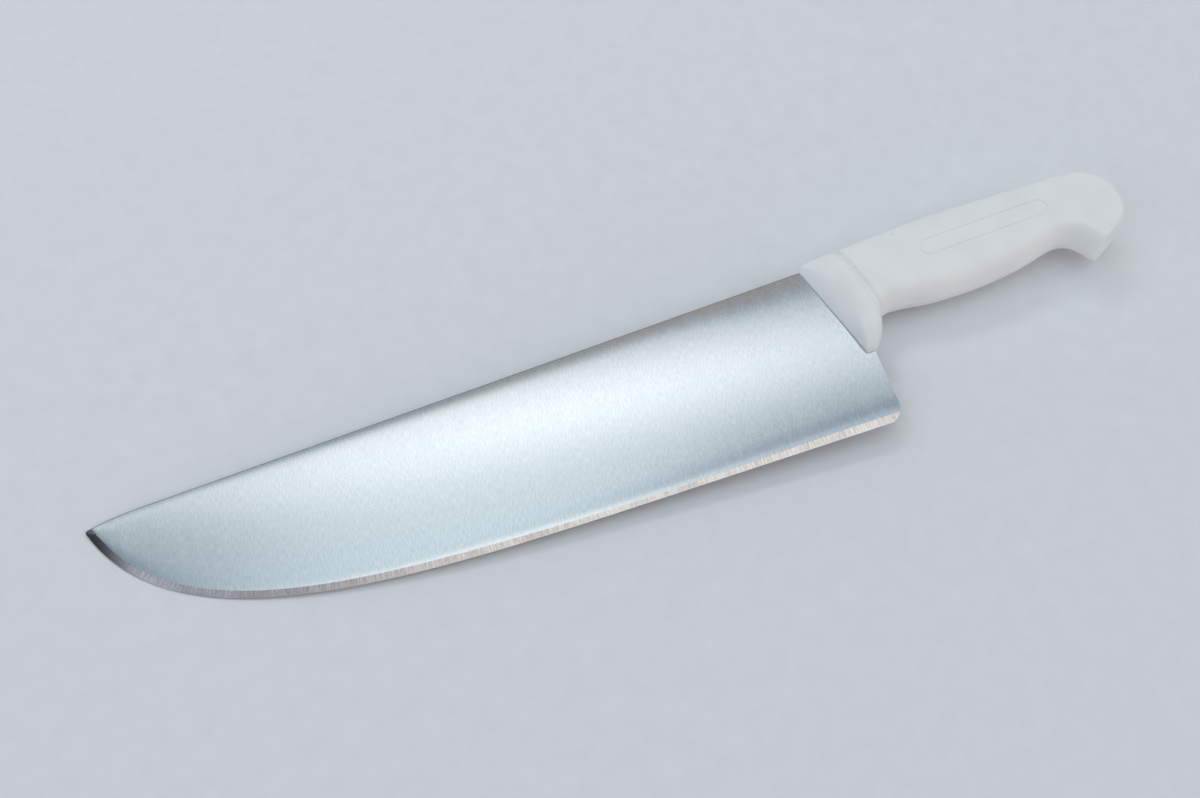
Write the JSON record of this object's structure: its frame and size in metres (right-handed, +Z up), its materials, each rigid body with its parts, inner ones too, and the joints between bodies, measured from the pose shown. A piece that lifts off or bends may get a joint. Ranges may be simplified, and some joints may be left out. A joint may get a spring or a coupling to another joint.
{
  "type": "butcher knife",
  "caption": "Long butcher knife: broad ground steel blade with an upswept belly and deep heel, its tang moulded into a white plastic handle with a flared guard and hooked butt.",
  "frame": {"origin": "centre of the bounding box at its bottom, with the knife lying on its side on a level surface", "axes": "+X from the tip towards the butt, +Y from the cutting edge towards the spine, +Z up, out of the side that shows in the picture"},
  "size_m": [0.4392, 0.08, 0.0282],
  "materials": {
    "blade": "ground stainless steel, fine grinding lines across the blade, honed bevel",
    "handle": "white polypropylene with a fine satin mould texture"
  },
  "bodies": {
    "root": {"blade": "blade", "handle": "handle"}
  },
  "joints": []
}
